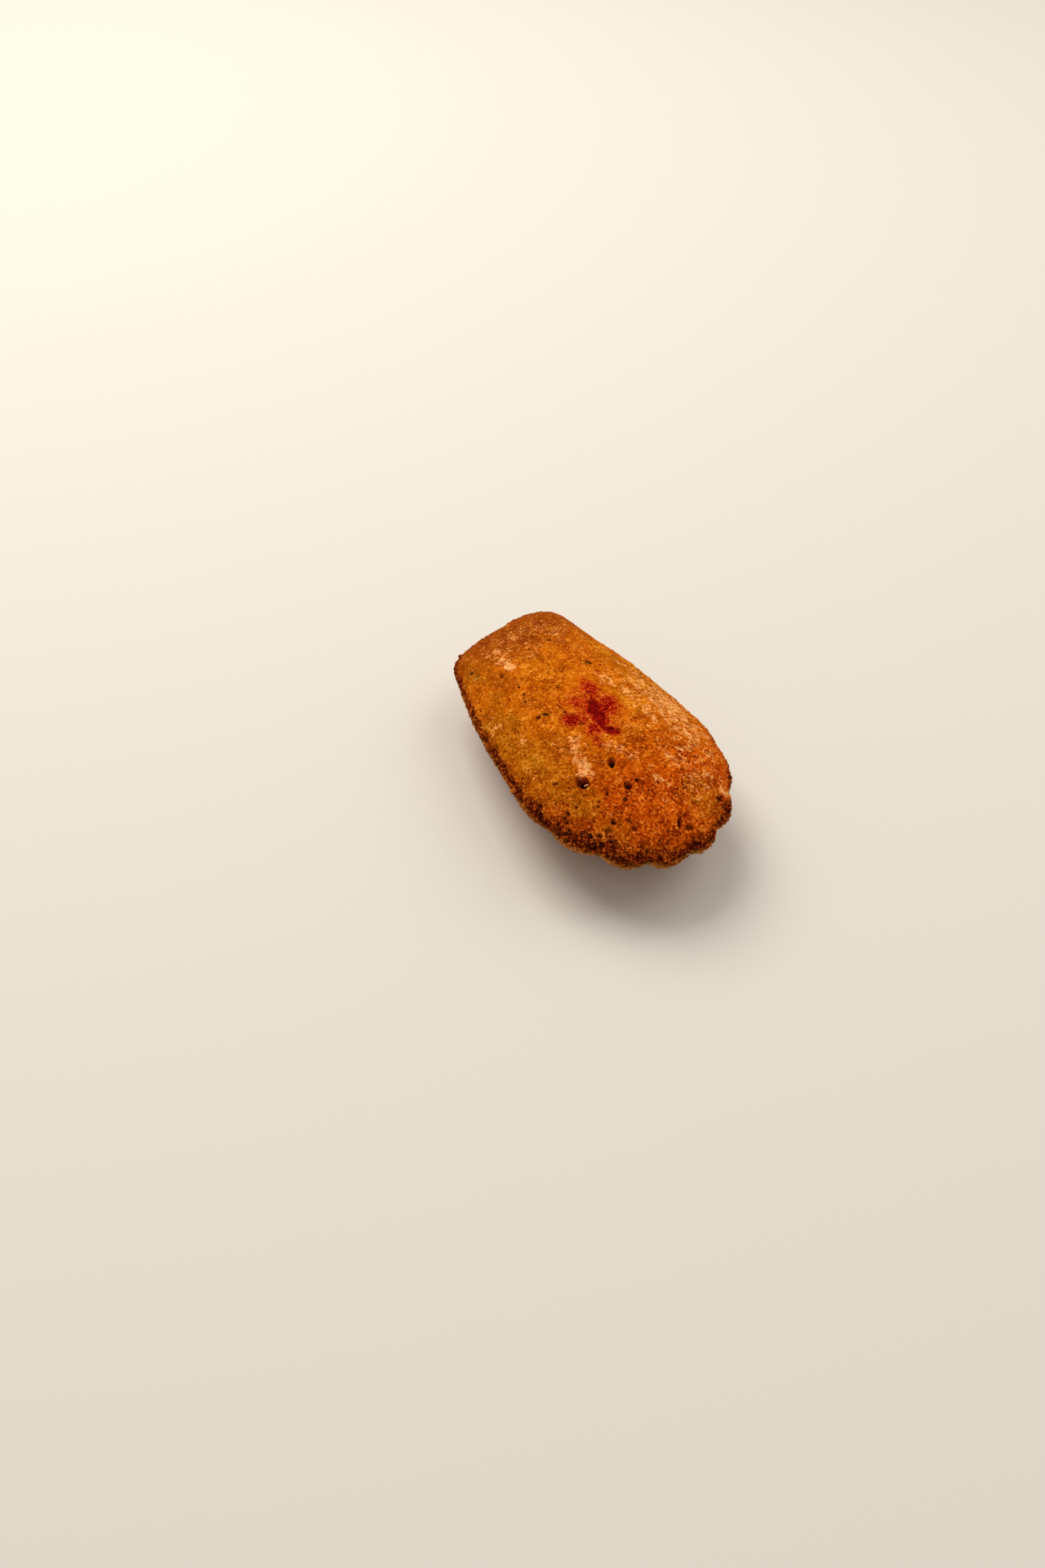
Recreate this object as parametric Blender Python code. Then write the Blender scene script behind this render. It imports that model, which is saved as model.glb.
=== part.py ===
"""A madeleine: a shell-shaped sponge cake lying on its ribbed belly, with red jam showing in its crown.

Metres, +Z up. The origin is on the table, under the middle of the cake's box. +X runs along the cake,
from its narrow hinge end to its wide scalloped end.
"""

import math

import bmesh
import bpy
from mathutils import Matrix, Vector, noise

# Plan outline
LENGTH = 0.080
WIDTH = 0.0455
HINGE_WIDTH = 0.0281
WIDEST_FROM_HINGE = 0.0516
FLARE_EASE = 1.6  # above 1 the straight sides bow outwards a little
HINGE_CORNER = 0.0059  # how far along the cake the rounded corners of the hinge end reach
CORNER_POWER = 2.55
HINGE_SLANT = 0.14  # the hinge end isn't quite square to the cake's length

# Heights, above the table
RIM_HEIGHT = 0.0140
CROWN_HEIGHT = 0.0255
PRESSED_FLAT = 0.0008  # how much of the belly the cake's own weight presses flat

# Long section: shares of the length, from the hinge end
CROWN_PEAK = 0.56
BELLY_LOW = 0.50
CROWN_POWER, CROWN_ROUND = 2.3, 0.62
HINGE_ROUND = 0.74  # as CROWN_ROUND, but towards the hinge end, where the crown rises more gently
HINGE_SPREAD = (0.5, 0.95)  # cosines of the angles off the long axis between which that sets in
BELLY_POWER, BELLY_ROUND = 2.3, 0.66

# Shell ribs, which fan out from a point behind the hinge end
RIBS = 8
RIB_PITCH = math.radians(5.75)
FAN_BEHIND_HINGE = 0.012
GROOVE_DEPTH = 0.0020
GROOVE_STARTS, GROOVE_FULL = 0.015, 0.050  # distance from the fan's point
GROOVE_SOFTNESS = 0.12  # rounds the bottoms of the grooves
HINGE_GROOVE = 0.3  # share of the depth that is left at the hinge
FADE_PAST_LAST = (-0.3, 0.5)  # ribs before and after the outermost one, over which the grooves end
RIM_BLEND = -0.5  # the sine of the latitude from which the grooves take on their depth at the rim
SCALLOP_TOP = 0.45  # how far up over the rim the grooves still show, as the sine of a latitude
SCALLOP_SHARE = 0.72  # of the grooves' depth, at the rim
SCALLOPED_RIBS = 2.2  # ribs on each side of the axis that still notch the rim fully

# Baking unevenness
LUMP_SIZE = 0.016
LUMP_HEIGHT = 0.0005

# Jam, piped in through the crown: a slit with a short foot at its far end
JAM_X, JAM_Y = 0.0055, -0.0010
JAM_DEPTH = 0.0010  # from the crown's top down to the middle of the jam
JAM_SINK = 0.0005  # the jam's surface lies this far under the crumb
JAM_GAP = 0.0003
SLIT_HALF = Vector((0.0048, 0.0015, 0.0065))
SLIT_TURN = math.radians(-11)
FOOT_HALF = Vector((0.0019, 0.0010, 0.0032))
FOOT_TURN = math.radians(40)
FOOT_START = 1.0  # where the foot leaves the slit, as a share of the slit's half length
FOOT_SHIFT = 0.6  # how far out its middle lies, as a share of the foot's half length

# Mesh fineness: faces along, across and up the box that the cake is inflated from, and the share kept
FACES_ALONG, FACES_ACROSS, FACES_UP = 56, 96, 24
FACES_KEPT = 0.24
JAM_SUBDIVISIONS = 3
HALVINGS = 40  # steps in the search for the outline


def smooth_step(low, high, value):
    """0 below low, 1 above high, and an S-curve between them."""
    share = min(1.0, max(0.0, (value - low) / (high - low)))
    return share * share * (3 - 2 * share)


def half_width(x):
    """Half the cake's width at x: a squarish hinge end, flared sides and an elliptical wide end."""
    along = x + LENGTH / 2
    if along <= 0 or along >= LENGTH:
        return 0.0
    if along > WIDEST_FROM_HINGE:
        past = (along - WIDEST_FROM_HINGE) / (LENGTH - WIDEST_FROM_HINGE)
        return WIDTH / 2 * math.sqrt(1 - past * past)
    swell = 1 - (1 - along / WIDEST_FROM_HINGE) ** FLARE_EASE
    side = HINGE_WIDTH / 2 + (WIDTH - HINGE_WIDTH) / 2 * swell
    corner = 1 - min(1.0, along / HINGE_CORNER)
    return side * (1 - corner**CORNER_POWER) ** (1 / CORNER_POWER)


def reach(hub_x, angle):
    """Distance from the hub, a point on the long axis, to the outline in one direction."""
    inside, outside = 0.0, LENGTH
    for _ in range(HALVINGS):
        middle = (inside + outside) / 2
        x = hub_x + middle * math.cos(angle)
        y = middle * math.sin(angle)
        slanted_x = x + HINGE_SLANT * y * smooth_step(0.0, LENGTH / 2, -x)
        if abs(y) < half_width(slanted_x):
            inside = middle
        else:
            outside = middle
    return inside


def lump(point):
    """Slow unevenness of a hand-filled, oven-risen cake."""
    return LUMP_HEIGHT * noise.noise(point / LUMP_SIZE)


def groove(point, height):
    """How deep the shell's grooves cut at a point seen from above, at a latitude with that sine."""
    from_fan = Vector((point.x + LENGTH / 2 + FAN_BEHIND_HINGE, point.y))
    ribs_off_axis = math.atan2(from_fan.y, from_fan.x) / RIB_PITCH
    wave = math.hypot(math.sin(math.pi * ribs_off_axis), GROOVE_SOFTNESS)
    dip = 1 - wave / math.hypot(1, GROOVE_SOFTNESS)
    fade_from, fade_to = (RIBS / 2 + ribs for ribs in FADE_PAST_LAST)
    past_last = smooth_step(fade_from, fade_to, abs(ribs_off_axis))
    from_hinge = HINGE_GROOVE + (1 - HINGE_GROOVE) * smooth_step(GROOVE_STARTS, GROOVE_FULL, from_fan.length)
    rim_share = SCALLOP_SHARE * (1 - smooth_step(SCALLOPED_RIBS, RIBS / 2, abs(ribs_off_axis)))
    near_rim = 1 + (rim_share - 1) * smooth_step(RIM_BLEND, 0.0, height)
    over_rim = 1 - smooth_step(0.0, SCALLOP_TOP, height)
    return GROOVE_DEPTH * dip * (1 - past_last) * from_hinge * near_rim * over_rim


def inflated_box(bm):
    """A unit ball made from a box, so that its faces run in even rows along and across the cake."""
    bmesh.ops.create_cube(bm, size=2.0)
    for axis, faces in enumerate((FACES_ALONG, FACES_ACROSS, FACES_UP)):
        along_axis = [edge for edge in bm.edges if abs(edge.verts[0].co[axis] - edge.verts[1].co[axis]) > 1]
        bmesh.ops.subdivide_edges(bm, edges=along_axis, cuts=faces - 1, use_grid_fill=True)
    for vert in bm.verts:
        even = Vector(math.tan(share * math.pi / 4) for share in vert.co)
        vert.co = even.normalized()


def shape_shell(bm):
    """Turns a unit ball into the cake: its equator becomes the rim, its poles the crown and the belly."""
    hub_x = LENGTH * (CROWN_PEAK - 0.5)
    belly_shift = LENGTH * (BELLY_LOW - CROWN_PEAK)
    latitude = {}
    for vert in bm.verts:
        ball = vert.co.copy()
        ring = min(1.0, math.hypot(ball.x, ball.y))
        angle = math.atan2(ball.y, ball.x)
        out = reach(hub_x, angle) * ring
        x = hub_x + out * math.cos(angle)
        y = out * math.sin(angle)
        if ball.z >= 0:
            near_hinge = smooth_step(*HINGE_SPREAD, -math.cos(angle))
            roundness = CROWN_ROUND + (HINGE_ROUND - CROWN_ROUND) * near_hinge
            rise = (1 - ring**CROWN_POWER) ** roundness
            z = RIM_HEIGHT + (CROWN_HEIGHT - RIM_HEIGHT) * rise
        else:
            drop = (1 - ring**BELLY_POWER) ** BELLY_ROUND
            x += belly_shift * (1 - ring * ring)
            z = RIM_HEIGHT - (RIM_HEIGHT + PRESSED_FLAT) * drop
        vert.co = (x, y, z)
        latitude[vert] = ball.z
    bm.normal_update()
    for vert in bm.verts:
        inwards = groove(vert.co, latitude[vert]) - lump(vert.co)
        vert.co -= vert.normal * inwards


def centre_on_axis(bm):
    """Puts the middle of the shape's box over the origin."""
    for axis in (0, 1):
        places = [vert.co[axis] for vert in bm.verts]
        middle = (min(places) + max(places)) / 2
        for vert in bm.verts:
            vert.co[axis] -= middle


def new_object(name, bm, material=None):
    """Makes a smooth-shaded object of a bmesh."""
    mesh = bpy.data.meshes.new(name)
    bm.to_mesh(mesh)
    bm.free()
    mesh.shade_smooth()
    if material:
        mesh.materials.append(material)
    thing = bpy.data.objects.new(name, mesh)
    bpy.context.collection.objects.link(thing)
    return thing


def guide(thing):
    """Marks a cutter or a guide, which is not a piece of the cake."""
    thing.hide_render = True
    thing.display_type = "WIRE"
    return thing


def boolean(thing, operation, other):
    """Adds an exact Boolean to an object."""
    modifier = thing.modifiers.new(operation.title(), "BOOLEAN")
    modifier.operation = operation
    modifier.solver = "EXACT"
    modifier.object = other


def make_material(name, colour, roughness):
    """A plain non-metal finish."""
    material = bpy.data.materials.new(name)
    material.use_nodes = True
    shader = material.node_tree.nodes["Principled BSDF"]
    shader.inputs["Base Color"].default_value = (*colour, 1.0)
    shader.inputs["Roughness"].default_value = roughness
    shader.inputs["Metallic"].default_value = 0.0
    return material


def make_crumb_form(name, material=None):
    """The whole cake as one uncut solid, with no faces spent where it is smooth."""
    bm = bmesh.new()
    inflated_box(bm)
    shape_shell(bm)
    centre_on_axis(bm)
    form = new_object(name, bm, material)
    thin = form.modifiers.new("Thin", "DECIMATE")
    thin.ratio = FACES_KEPT
    return form


def make_pip(name, half, turn, centre, grow):
    """One stretched ball of jam, grown by a gap where it is used as a cutter."""
    bm = bmesh.new()
    bmesh.ops.create_icosphere(bm, subdivisions=JAM_SUBDIVISIONS, radius=1.0)
    size = half + Vector((grow, grow, grow))
    place = Matrix.Translation(centre) @ Matrix.Rotation(turn, 4, "Z") @ Matrix.Diagonal(size).to_4x4()
    bmesh.ops.transform(bm, matrix=place, verts=bm.verts)
    return new_object(name, bm)


def make_jam_form(name, grow):
    """The slit and its foot, joined into one body."""
    middle = Vector((JAM_X, JAM_Y, CROWN_HEIGHT - JAM_DEPTH))
    along_slit = Vector((math.cos(SLIT_TURN), math.sin(SLIT_TURN), 0.0))
    along_foot = Vector((math.cos(FOOT_TURN), math.sin(FOOT_TURN), 0.0))
    foot_middle = middle + along_slit * SLIT_HALF.x * FOOT_START + along_foot * FOOT_HALF.x * FOOT_SHIFT
    slit = make_pip(name, SLIT_HALF, SLIT_TURN, middle, grow)
    foot = guide(make_pip(name + "_foot", FOOT_HALF, FOOT_TURN, foot_middle, grow))
    boolean(slit, "UNION", foot)
    return slit


def make_table():
    """A block whose top is the table, which presses the belly flat."""
    bm = bmesh.new()
    bmesh.ops.create_cube(bm, size=LENGTH * 2)
    bmesh.ops.translate(bm, vec=(0.0, 0.0, -LENGTH), verts=bm.verts)
    return guide(new_object("table", bm))


def make_cake():
    """The baked sponge, with the pocket that the jam was piped into."""
    crumb = make_material("golden_crumb", (0.55, 0.19, 0.03), 0.85)
    cake = make_crumb_form("cake", crumb)
    pocket = guide(make_jam_form("jam_pocket", JAM_GAP))
    boolean(cake, "DIFFERENCE", pocket)
    boolean(cake, "DIFFERENCE", make_table())


def make_jam():
    """The jam, up to just under the surface of the crown."""
    jam = make_jam_form("jam_filling", 0.0)
    jam.data.materials.append(make_material("red_jam", (0.22, 0.006, 0.008), 0.25))
    level = guide(make_crumb_form("jam_level"))
    level.location.z = -JAM_SINK
    boolean(jam, "INTERSECT", level)


def main():
    for old in list(bpy.data.objects):
        bpy.data.objects.remove(old, do_unlink=True)
    make_cake()
    make_jam()


main()
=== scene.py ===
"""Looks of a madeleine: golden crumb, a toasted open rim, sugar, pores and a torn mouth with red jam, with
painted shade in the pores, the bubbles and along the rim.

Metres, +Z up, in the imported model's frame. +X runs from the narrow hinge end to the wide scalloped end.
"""

import math
from collections import namedtuple

import bmesh
import bpy
import numpy as np
from mathutils import Matrix, Quaternion, Vector, noise


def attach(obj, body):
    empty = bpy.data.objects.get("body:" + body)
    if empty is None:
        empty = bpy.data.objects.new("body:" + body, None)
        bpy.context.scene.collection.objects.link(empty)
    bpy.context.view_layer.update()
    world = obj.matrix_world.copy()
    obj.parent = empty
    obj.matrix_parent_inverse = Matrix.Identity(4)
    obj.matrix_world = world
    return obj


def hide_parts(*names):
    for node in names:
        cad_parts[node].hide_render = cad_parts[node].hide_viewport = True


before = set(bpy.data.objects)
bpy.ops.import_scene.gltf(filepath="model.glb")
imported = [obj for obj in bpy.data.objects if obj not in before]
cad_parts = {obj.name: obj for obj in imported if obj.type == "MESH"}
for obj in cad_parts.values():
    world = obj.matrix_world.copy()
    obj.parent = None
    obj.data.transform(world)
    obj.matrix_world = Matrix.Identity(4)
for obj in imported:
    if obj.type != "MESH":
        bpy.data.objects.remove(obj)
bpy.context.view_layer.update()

MM = 0.001

# The cake's outline and heights, as the solid cake has them
LENGTH = 80 * MM
WIDTH = 45.5 * MM
HINGE_WIDTH = 28.1 * MM
WIDEST_FROM_HINGE = 51.6 * MM
FLARE_EASE = 1.6
HINGE_CORNER = 5.9 * MM
CORNER_POWER = 2.55
HINGE_SLANT = 0.14
RIM_HEIGHT = 14 * MM
CROWN_HEIGHT = 25.5 * MM
PRESSED_FLAT = 0.8 * MM
CROWN_PEAK, BELLY_LOW = 0.56, 0.50
CROWN_POWER, CROWN_ROUND = 2.3, 0.62
HINGE_ROUND = 0.74  # the crown's roundness over the hinge end
HINGE_SPREAD = (0.5, 0.95)  # how squarely towards the hinge it begins and is full, as a cosine
BELLY_POWER, BELLY_ROUND = 2.3, 0.66
RIBS = 8
RIB_PITCH = math.radians(5.75)
FAN_BEHIND_HINGE = 12 * MM
GROOVE_DEPTH = 2.0 * MM
GROOVE_STARTS, GROOVE_FULL = 15 * MM, 50 * MM
GROOVE_SOFTNESS = 0.12
HINGE_GROOVE = 0.3  # the groove's depth at the hinge end, as a share of the full depth
FADE_PAST_LAST = (-0.3, 0.5)  # in ribs past the last one
RIM_BLEND, SCALLOP_TOP = -0.5, 0.45  # sines of the latitudes where the grooves turn to scallops and end
SCALLOP_SHARE = 0.72
SCALLOPED_RIBS = 2.2
LUMP_SIZE, LUMP_HEIGHT = 16 * MM, 0.5 * MM
HALVINGS = 24

# Mesh fineness, before the crown's faces are split in four
FACES_ALONG, FACES_ACROSS, FACES_UP = 122, 70, 34
REFINED_FROM = -0.12  # the sine of the latitude above which they are split
REFINED_MARGIN = 0.4  # the faces round a pit are split once more, up to this many mm past its half length

# The skin's relief
CROWN_BLEND = (-0.1, 0.15)  # sines of the latitudes where the crown's crust begins and is full
CRUMB_RELIEF, SHELL_RELIEF = 0.20 * MM, 0.03 * MM
MOUND_SIZE, MOUND_HEIGHT = 5.5 * MM, 0.20 * MM
RIM_LUMP_SIZE, RIM_LUMP_HEIGHT = 2.4 * MM, 0.22 * MM
RIM_LUMPS_FADE = (0.5 * MM, 3 * MM)
WIDE_CURLS, NARROW_CURLS = 1.5 * MM, 0.85 * MM
CELL_SIZE, CELL_WALL = 1.1 * MM, 1.6
ROUGH_PATCH = 4 * MM
ROUGH_LIMITS = (0.36, 1.1)
SMOOTHER_HINGE = (-32 * MM, -14 * MM)

# Pressed-in places on the crown: x and y in mm, half length, half width and depth in mm, turn in degrees
Pit = namedtuple("Pit", "x y long wide deep turn")
PORES = (
    Pit(18.8, -12.9, 1.7, 1.3, 3.6, 20),
    Pit(18.4, -5.6, 1.3, 0.9, 2.0, -35),
    Pit(24.4, -5.5, 1.0, 0.9, 1.7, 0),
    Pit(28.9, -11.9, 0.75, 0.6, 1.1, 30),
    Pit(29.5, -13.7, 1.1, 0.65, 0.5, 60),
    Pit(15.6, -21.2, 0.7, 0.65, 0.9, 0),
    Pit(36.8, 1.5, 1.2, 0.8, 0.8, 40),
    Pit(35.6, -0.3, 1.5, 0.55, 1.6, -25),
    Pit(34.7, 1.6, 0.45, 0.35, 0.7, 0),
    Pit(-5.8, -3.7, 0.7, 0.5, 0.8, -30),
    Pit(15.0, -17.2, 0.8, 0.4, 0.6, 60),
    Pit(33.2, 12.0, 1.4, 0.9, 1.0, 60),
    Pit(-18.0, -10.8, 0.7, 0.5, 0.5, 0),
    Pit(24.2, -3.3, 0.6, 0.5, 0.6, 30),
    Pit(28.8, 5.0, 0.7, 0.5, 0.5, 0),
    Pit(26.5, -7.6, 0.6, 0.5, 0.7, 50),
    Pit(23.5, -10.2, 0.6, 0.5, 0.5, 0),
    Pit(27.8, -16.7, 0.7, 0.6, 1.0, 0),
    Pit(29.1, -15.3, 0.8, 0.6, 0.9, 30),
    Pit(21.6, -18.2, 0.7, 0.5, 0.8, 0),
    Pit(28.3, -9.6, 0.5, 0.4, 0.5, 0),
    Pit(30.3, -9.2, 0.6, 0.5, 0.6, 40),
    Pit(32.2, -9.0, 0.9, 0.6, 0.5, 20),
)
FLECKS = (
    Pit(-9.8, 6.6, 1.0, 0.5, 0.8, 75),
    Pit(-1.1, -11.5, 0.7, 0.4, 0.9, 60),
    Pit(-0.7, -10.0, 1.0, 0.35, 0.4, 45),
    Pit(-25.8, -14.4, 0.6, 0.35, 0.5, 60),
    Pit(-12.0, -9.9, 0.35, 0.3, 0.6, 0),
    Pit(-9.3, -10.2, 0.35, 0.3, 0.5, 0),
    Pit(-7.4, -11.1, 0.4, 0.35, 0.5, 0),
    Pit(-22.1, 4.0, 0.6, 0.45, 0.5, 0),
)
JAM_PORES = (
    Pit(-0.4, -6.6, 0.45, 0.35, 0.6, 0),
    Pit(1.4, -6.5, 0.5, 0.4, 0.7, 0),
    Pit(6.2, -5.2, 1.0, 0.3, 0.6, 50),
    Pit(10.4, 5.2, 0.7, 0.25, 0.5, 50),
    Pit(13.7, -5.2, 0.35, 0.3, 0.5, 0),
)
JAM_MOUTH = (
    Pit(5.5, -1.0, 5.4, 1.15, 1.6, -11),
    Pit(11.0, -1.2, 2.1, 0.8, 1.3, 40),
)
PIT_EDGE = 1.05  # a pit's bowl ends at this share of its half length
PIT_COLLAR = (0.7, 1.6)  # the raised lip begins and ends at these shares
PIT_RANGE = 2.2  # how far from its middle a pit can change the skin, in half lengths
PORE_LIP, PORE_FLAT = 0.04, 0.5
PIT_RAGGED, MOUTH_RAGGED, RAGGED_SIZE = 0.25, 0.5, 0.9 * MM
# A pit's bottom is darkened as painted shade by the first, and by 1 more for each step of the second, in
# mm, of its depth
DARK_FROM, DARK_DEPTH = 0.35, 4.0

# Pale flakes at the big pore's far edge, and a thread hung across its mouth: x and y in mm, half length,
# half width and half thickness in mm, turn in degrees, lift off the skin or off the mouth's level in mm
Flake = namedtuple("Flake", "x y long wide thick turn lift hung")
FLAKES = (
    Flake(17.3, -11.4, 0.78, 0.55, 0.16, 55, 0.10, False),
    Flake(16.6, -12.7, 0.62, 0.22, 0.14, -35, 0.10, False),
    Flake(18.2, -10.6, 0.30, 0.24, 0.16, 10, 0.12, False),
    Flake(19.5, -12.5, 0.55, 0.14, 0.13, 85, -0.35, True),
)
MOUTH_REACH = 2.1 * MM
MOUTH_LEVEL = 75  # the percentile of the heights round a pore that its mouth lies at
FLAKE_LUMP_SIZE, FLAKE_LUMP_HEIGHT = 0.5 * MM, 0.1 * MM

# Soft patches of colour: x and y in mm, half length and half width in mm, turn in degrees, strength
Patch = namedtuple("Patch", "x y long wide turn strength")
FLOUR = (
    Patch(-18.6, -7.9, 1.9, 1.5, 0, 1.5),
    Patch(-21.5, -7.8, 4.5, 1.6, 8, 0.85),
    Patch(-26.0, -7.0, 4.5, 2.6, 20, 0.6),
    Patch(-30.0, 0.0, 4.0, 9.0, -8, 0.45),
    Patch(-22.0, -1.0, 5.0, 3.0, 0, 0.35),
    Patch(-25.0, 7.0, 6.0, 4.0, 0, 0.40),
    Patch(11.5, -10.0, 5.0, 2.0, -10, 0.85),
    Patch(15.5, -10.8, 2.6, 1.8, 0, 1.0),
    Patch(17.4, -12.1, 1.0, 0.5, 60, 1.6),
    Patch(15.5, -2.7, 3.2, 1.3, 35, 0.75),
    Patch(18.7, -1.2, 1.8, 1.1, 35, 0.8),
    Patch(-2.5, 7.2, 4.0, 2.0, 10, 0.75),
    Patch(2.5, 8.6, 3.0, 1.8, 10, 0.9),
    Patch(9.0, 9.2, 4.0, 1.8, 5, 0.8),
    Patch(13.0, 9.0, 2.2, 1.4, 0, 0.9),
    Patch(10.0, 15.0, 15.0, 6.0, -8, 0.85),
    Patch(2.0, 14.0, 9.0, 5.0, -5, 0.75),
    Patch(26.0, 1.0, 2.4, 1.4, 30, 0.7),
    Patch(22.0, 6.0, 2.4, 1.2, 30, 0.7),
    Patch(32.0, 13.5, 1.5, 1.5, 0, 0.9),
    Patch(28.0, 9.0, 7.0, 5.0, -40, 0.50),
    Patch(-8.0, -18.5, 2.4, 1.4, 0, 0.6),
    Patch(1.0, -16.5, 2.6, 1.2, 0, 0.55),
)
GOLD = (
    Patch(-5.0, -18.0, 10.0, 3.6, -6, 1.0),
    Patch(6.0, -17.5, 9.0, 4.2, -4, 0.75),
    Patch(16.0, -16.0, 6.0, 3.6, 0, 0.7),
    Patch(22.0, -15.0, 5.0, 3.5, 30, 0.6),
    Patch(30.0, -12.5, 4.5, 3.2, 40, 0.4),
    Patch(-24.0, -13.0, 5.0, 2.5, 0, 0.6),
    Patch(-4.0, 15.0, 20.0, 4.5, 4, 1.0),
    Patch(4.0, 8.0, 8.0, 3.5, 4, 0.6),
    Patch(-12.0, -2.0, 8.0, 6.0, 0, 0.35),
    Patch(32.0, 8.0, 5.0, 5.0, 0, 0.5),
)
BAKED = (
    Patch(-34.0, 0.0, 16.0, 24.0, 0, 1.1),
    Patch(-24.0, -3.5, 4.0, 3.0, 20, 0.9),
    Patch(-17.0, -11.5, 4.0, 2.0, 0, 0.6),
    Patch(-22.0, 5.0, 6.0, 3.0, 0, 0.5),
    Patch(-6.0, -10.5, 4.0, 1.6, 10, 0.4),
    Patch(14.0, 2.0, 4.0, 3.0, 0, 0.35),
    Patch(8.0, -12.5, 5.0, 3.2, -10, 0.6),
    Patch(-25.0, -10.2, 4.0, 2.5, 0, 0.9),
)
OLIVE = (
    Patch(-13.8, -13.8, 2.4, 1.2, 30, 0.6),
    Patch(-24.0, -14.4, 2.4, 1.0, 0, 0.45),
    Patch(-9.8, 6.0, 1.2, 1.0, 0, 0.6),
    Patch(-0.6, -9.8, 1.6, 0.8, 45, 0.5),
    Patch(-5.0, -15.0, 2.5, 1.2, 0, 0.4),
    Patch(9.0, -17.5, 3.5, 1.0, 0, 0.35),
    Patch(29.3, -13.2, 1.6, 1.0, 40, 0.25),
    Patch(21.5, -16.0, 3.0, 1.5, 0, 0.35),
)
STAIN = (
    Patch(5.0, -0.8, 7.5, 3.0, -11, 1.6),
    Patch(11.2, -1.2, 3.0, 1.7, 40, 1.4),
    Patch(4.2, -6.4, 3.4, 2.8, 30, 1.15),
    Patch(4.6, 2.4, 5.0, 3.6, -20, 1.1),
    Patch(9.0, -3.8, 3.4, 2.6, 0, 1.1),
    Patch(-1.4, 1.6, 5.5, 2.8, -8, 1.05),
    Patch(0.5, -3.0, 4.4, 3.2, 30, 0.85),
    Patch(5.0, -4.5, 4.0, 3.0, 0, 0.8),
    Patch(3.5, -0.8, 12.0, 9.0, 0, 0.6),
    Patch(12.5, -5.2, 2.8, 1.8, 0, 0.7),
)
PATCH_WOBBLE = 1.6 * MM
PATCH_BLEND = (-0.05, 0.1)  # sines of the latitudes where the patches begin and are full

# Where along x the wide end's coarse, red-brown crumb begins and is full, and how its edge wanders
WIDE_END_FROM, WIDE_END_FULL = 10 * MM, 28 * MM
WIDE_END_WANDER, WANDER_SIZE = 3 * MM, 7 * MM

# The toasted band, which along the near side also holds painted shade: its least width, what the near side
# and the wide end add to it, and its wobble
TOAST_LEAST, TOAST_AND_SHADE_NEAR_SIDE, TOAST_WIDE_END = 0.4 * MM, 0.5 * MM, 1.3 * MM
TOAST_WOBBLE, TOAST_WOBBLE_WIDE_END, TOAST_WOBBLE_SIZE = 0.6 * MM, 0.9 * MM, 4 * MM
TOAST_FROM_HINGE = (-5 * MM, 25 * MM)
TOAST_ACROSS = (-10 * MM, 18 * MM)
TOAST_TIP = (28 * MM, 38 * MM)
TOAST_FULL = 0.1 * MM  # the rim is fully toasted this far in
TOAST_FADE, NARROWEST_TOAST = 1.7, 0.3 * MM  # it is gone at so many widths of a band at least this wide
TOAST_BLEND = (-0.3, 0.0)
BAKED_EDGE = (0.1 * MM, 0.9 * MM)

# Bubbles broken open along the toasted rim
RIM_BUBBLES = 430
BUBBLE_HALF = (0.24 * MM, 0.66 * MM)
BUBBLES_FROM_HINGE = (-10 * MM, 30 * MM)
BUBBLES_AT_HINGE, BUBBLES_ON_CROWN = 0.25, 0.07  # how likely they are there, beside the toasted wide end
BUBBLE_STRETCH = (1.0, 1.5)
BUBBLE_DEPTH = 0.95  # as a share of the bubble's half width
BUBBLE_LIP = 0.18
BUBBLE_SEED = 12

# Grains that lie on the skin: how many, their least and largest half size, their thickness as a share of
# it, how far they stand out as a share of their thickness, and the seed of their places
Grains = namedtuple("Grains", "count least largest flatness lift seed")
CRUMB_GRAINS = Grains(2200, 0.16 * MM, 0.45 * MM, 0.45, -0.2, 31)
TOASTED_GRAINS = Grains(2600, 0.20 * MM, 0.55 * MM, 0.55, -0.1, 32)
SUGAR_GRAINS = Grains(1300, 0.08 * MM, 0.18 * MM, 0.6, 0.2, 33)
GRAIN_SHAPES = 8
GRAIN_KNOBS = (0.7, 1.25)
GRAIN_STRETCH = (0.6, 1.3)
LOOSE_PATCH, SUGAR_CLUMP = 4 * MM, 1.3 * MM
# The sugar fringe under the wide end's rim: the sines of the latitudes where it begins and is full, those
# where it fades and ends, and where along x it begins and is full
FRINGE_BEGINS, FRINGE_ENDS = (-0.30, -0.12), (-0.05, 0.0)
FRINGE_FROM_MIDDLE = (0.0, 30 * MM)

# The jam in the mouth
JAM_FINENESS = 0.2 * MM
JAM_SMOOTHINGS = 3
JAM_LUMP_SIZE, JAM_LUMP_HEIGHT = 1.2 * MM, 0.30 * MM
CAD_MERGE = 0.001 * MM

# Sizes of the finishes' own grain
CLOUD_GRAIN, CLUMP_GRAIN, SPECK_GRAIN, FINE_GRAIN = 3.8 * MM, 1.0 * MM, 0.50 * MM, 0.26 * MM
THREAD_GRAIN, WISP_GRAIN, SUGAR_GRAIN = 0.80 * MM, 1.25 * MM, 0.2 * MM
JAM_CLUMP, JAM_PULP = 1.1 * MM, 0.45 * MM

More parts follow.
